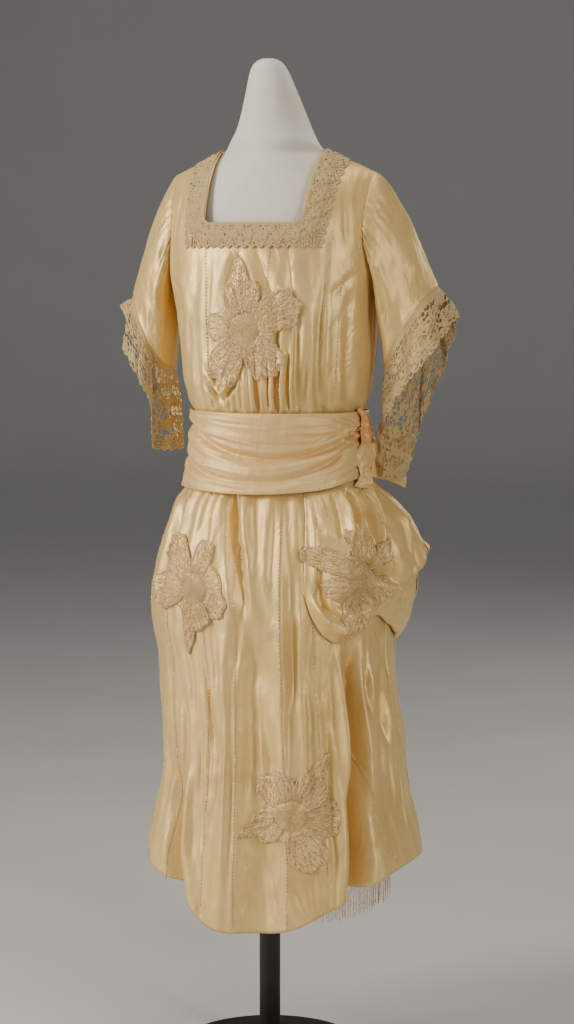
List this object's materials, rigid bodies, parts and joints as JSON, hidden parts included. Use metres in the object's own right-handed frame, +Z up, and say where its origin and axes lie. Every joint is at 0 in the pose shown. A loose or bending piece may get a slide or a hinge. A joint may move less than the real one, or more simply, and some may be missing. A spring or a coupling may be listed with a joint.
{
  "type": "wedding dress on dress form",
  "caption": "Cream satin wedding dress with a square lace collar, lace cuffs, a draped hip, a wide sash with a fringed end and raised beaded flowers, on a limbless dress form and pole stand.",
  "frame": {"origin": "centre of the stand's base on the floor, on the pole's axis", "axes": "+Z up, the dress's front faces -Y, +X to the wearer's left"},
  "size_m": [0.562, 0.3769, 1.513],
  "materials": {
    "satin": "cream silk satin, soft sheen",
    "sash_satin": "slightly pink silk satin",
    "lace": "matt cotton lace",
    "beadwork": "glass beads sewn on cloth",
    "form_cover": "smooth off-white cover",
    "stand_metal": "black paint"
  },
  "bodies": {
    "root": {"bodice_back": "satin", "bodice_front": "satin", "collar_back": "lace", "collar_front": "lace", "cuff_lace_back_left": "lace", "cuff_lace_back_right": "lace", "cuff_lace_front_left": "lace", "cuff_lace_front_right": "lace", "dress_form": "form_cover", "flower_chest": "beadwork", "flower_hem": "beadwork", "flower_hip_left": "beadwork", "flower_hip_right": "beadwork", "hip_drape": "satin", "hip_drape_back": "satin", "sash_band": "sash_satin", "sash_knot": "sash_satin", "sash_loop": "sash_satin", "sash_tail": "sash_satin", "skirt_back": "satin", "skirt_front": "satin", "sleeve_left": "satin", "sleeve_right": "satin", "stand_base": "stand_metal", "stand_pole": "stand_metal", "tail_fringe": "beadwork"}
  },
  "joints": []
}
